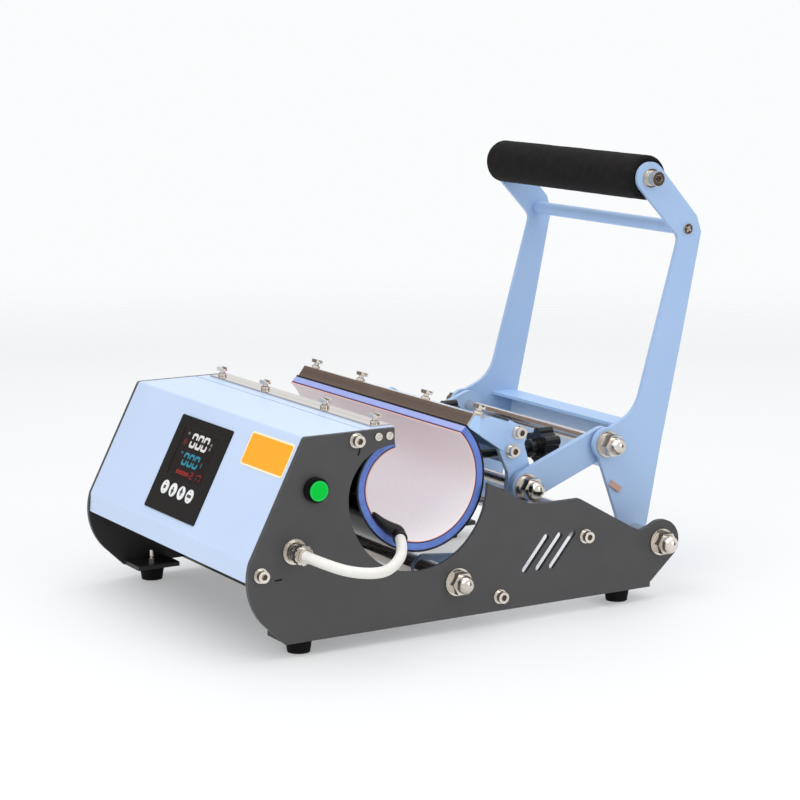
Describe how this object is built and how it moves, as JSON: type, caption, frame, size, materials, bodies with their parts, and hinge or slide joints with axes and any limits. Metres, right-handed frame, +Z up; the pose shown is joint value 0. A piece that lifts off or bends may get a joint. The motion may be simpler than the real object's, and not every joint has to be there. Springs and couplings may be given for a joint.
{
  "type": "tumbler heat press",
  "caption": "Bench heat press for tumblers: a heated wrap between dark side plates, closed by a lever handle and toggle links, with a sloped control box.",
  "frame": {"origin": "centre of the bounding box in X and Y, on the table under the feet", "axes": "+X to the operator's right, +Y to the rear (handle side), +Z up"},
  "size_m": [0.4109, 0.4794, 0.391],
  "materials": {
    "dark_plate": "fine satin powder coat",
    "pale_panel": "satin paint",
    "blue_paint": "satin paint",
    "black_sheet": "gloss black",
    "bright_strip": "brushed",
    "bright_hardware": "bright plated",
    "black_rubber": "matt",
    "grip_rubber": "foam",
    "blue_silicone": "smooth silicone",
    "white_silicone": "smooth silicone",
    "black_plastic": "fine grain",
    "knob_plastic": "gloss",
    "screen": "gloss",
    "white_plastic": "gloss",
    "green_plastic": "gloss"
  },
  "bodies": {
    "base": {"side_plate_right": "dark_plate", "side_plate_left": "dark_plate", "front_panel": "pale_panel", "clamp_rail": "pale_panel", "front_clamp_strip": "bright_strip", "front_saddle": "black_sheet", "housing_shell": "black_sheet", "tie_bars": "bright_hardware", "plate_screws": "bright_hardware", "feet": "black_rubber", "foot_screws": "bright_hardware", "jaw_shaft": "bright_hardware", "handle_shaft": "bright_hardware", "base_dome_nuts": "bright_hardware", "handle_spacers": "bright_hardware", "power_button_body": "black_plastic", "power_inlet": "black_plastic", "cable_gland": "bright_hardware", "heater_cable": "white_silicone", "cable_sleeve": "black_rubber", "wrap_front": "blue_silicone", "wrap_flex": "blue_silicone", "display_frame": "black_plastic", "display_screen": "screen"},
    "handle": {"handle_arm_right": "blue_paint", "handle_arm_left": "blue_paint", "grip_bar": "bright_hardware", "grip_foam": "grip_rubber", "handle_bolts": "bright_hardware", "tie_tube": "blue_paint", "cross_plate": "blue_paint", "link_shaft": "bright_hardware", "handle_dome_nuts": "bright_hardware"},
    "link": {"link_right": "blue_paint", "link_left": "blue_paint", "link_dome_nuts": "bright_hardware"},
    "jaw": {"jaw_plate_right": "blue_paint", "jaw_plate_left": "blue_paint", "jaw_bracket": "blue_paint", "jaw_back_plate": "blue_paint", "jaw_cross_rod": "bright_hardware", "jaw_screws": "bright_hardware", "rear_saddle": "black_sheet", "rear_clamp_strip": "bright_strip", "wrap_rear": "blue_silicone"},
    "pressure_knob_right": {"pressure_knob_right": "knob_plastic"},
    "pressure_knob_left": {"pressure_knob_left": "knob_plastic"},
    "power_button": {"power_button_cap": "green_plastic"},
    "clamp_screw_front_1": {"clamp_screw_front_1": "bright_hardware"},
    "clamp_screw_rear_1": {"clamp_screw_rear_1": "bright_hardware"},
    "display_button_1": {"display_button_1": "white_plastic"},
    "clamp_screw_front_2": {"clamp_screw_front_2": "bright_hardware"},
    "clamp_screw_rear_2": {"clamp_screw_rear_2": "bright_hardware"},
    "display_button_2": {"display_button_2": "white_plastic"},
    "clamp_screw_front_3": {"clamp_screw_front_3": "bright_hardware"},
    "clamp_screw_rear_3": {"clamp_screw_rear_3": "bright_hardware"},
    "display_button_3": {"display_button_3": "white_plastic"},
    "clamp_screw_front_4": {"clamp_screw_front_4": "bright_hardware"},
    "clamp_screw_rear_4": {"clamp_screw_rear_4": "bright_hardware"},
    "display_button_4": {"display_button_4": "white_plastic"}
  },
  "joints": [
    {"name": "handle_hinge", "type": "hinge", "parent": "base", "child": "handle", "pos_m": [0, 0.17095, 0.0522], "axis": [1, 0, 0], "range_deg": [0, 38.4]},
    {"name": "jaw_hinge", "type": "hinge", "parent": "base", "child": "jaw", "pos_m": [0, -0.04205, 0.0438], "axis": [1, 0, 0], "range_deg": [0, 27.04], "deforming": ["wrap_flex"]},
    {"name": "link_hinge", "type": "hinge", "parent": "handle", "child": "link", "pos_m": [0, 0.13965, 0.1372], "axis": [1, 0, 0], "range_deg": [-90.84, 0]},
    {"name": "power_button_press", "type": "slide", "parent": "base", "child": "power_button", "axis": [-1, 0, 0], "range_m": [0, 0.0015], "stiffness_N_per_m": 500, "springref_m": -0.002},
    {"name": "pressure_knob_right_turn", "type": "hinge", "parent": "jaw", "child": "pressure_knob_right", "pos_m": [0.08, 0.09965, 0.132], "axis": [0, 1, 0], "continuous": true},
    {"name": "pressure_knob_left_turn", "type": "hinge", "parent": "jaw", "child": "pressure_knob_left", "pos_m": [-0.08, 0.09965, 0.132], "axis": [0, 1, 0], "continuous": true},
    {"name": "clamp_screw_front_1_turn", "type": "hinge", "parent": "base", "child": "clamp_screw_front_1", "pos_m": [-0.14, -0.10985, 0.1832], "axis": [0, 0, 1], "continuous": true},
    {"name": "clamp_screw_front_2_turn", "type": "hinge", "parent": "base", "child": "clamp_screw_front_2", "pos_m": [-0.0546, -0.10985, 0.1832], "axis": [0, 0, 1], "continuous": true},
    {"name": "clamp_screw_front_3_turn", "type": "hinge", "parent": "base", "child": "clamp_screw_front_3", "pos_m": [0.0546, -0.10985, 0.1832], "axis": [0, 0, 1], "continuous": true},
    {"name": "clamp_screw_front_4_turn", "type": "hinge", "parent": "base", "child": "clamp_screw_front_4", "pos_m": [0.14, -0.10985, 0.1832], "axis": [0, 0, 1], "continuous": true},
    {"name": "clamp_screw_rear_1_turn", "type": "hinge", "parent": "jaw", "child": "clamp_screw_rear_1", "pos_m": [-0.142, -0.01097, 0.18042], "axis": [0, 0.2907, 0.9568], "continuous": true},
    {"name": "clamp_screw_rear_2_turn", "type": "hinge", "parent": "jaw", "child": "clamp_screw_rear_2", "pos_m": [-0.057, -0.01097, 0.18042], "axis": [0, 0.2907, 0.9568], "continuous": true},
    {"name": "clamp_screw_rear_3_turn", "type": "hinge", "parent": "jaw", "child": "clamp_screw_rear_3", "pos_m": [0.057, -0.01097, 0.18042], "axis": [0, 0.2907, 0.9568], "continuous": true},
    {"name": "clamp_screw_rear_4_turn", "type": "hinge", "parent": "jaw", "child": "clamp_screw_rear_4", "pos_m": [0.142, -0.01097, 0.18042], "axis": [0, 0.2907, 0.9568], "continuous": true},
    {"name": "display_button_1_press", "type": "slide", "parent": "base", "child": "display_button_1", "axis": [0, 0.8895, -0.4568], "range_m": [0, 0.0005], "stiffness_N_per_m": 300, "springref_m": -0.001},
    {"name": "display_button_2_press", "type": "slide", "parent": "base", "child": "display_button_2", "axis": [0, 0.8895, -0.4568], "range_m": [0, 0.0005], "stiffness_N_per_m": 300, "springref_m": -0.001},
    {"name": "display_button_3_press", "type": "slide", "parent": "base", "child": "display_button_3", "axis": [0, 0.8895, -0.4568], "range_m": [0, 0.0005], "stiffness_N_per_m": 300, "springref_m": -0.001},
    {"name": "display_button_4_press", "type": "slide", "parent": "base", "child": "display_button_4", "axis": [0, 0.8895, -0.4568], "range_m": [0, 0.0005], "stiffness_N_per_m": 300, "springref_m": -0.001}
  ],
  "couplings": [
    {"joint": "jaw_hinge", "follows": "handle_hinge", "ratio": 0.70387},
    {"joint": "link_hinge", "follows": "handle_hinge", "ratio": -2.3653}
  ]
}
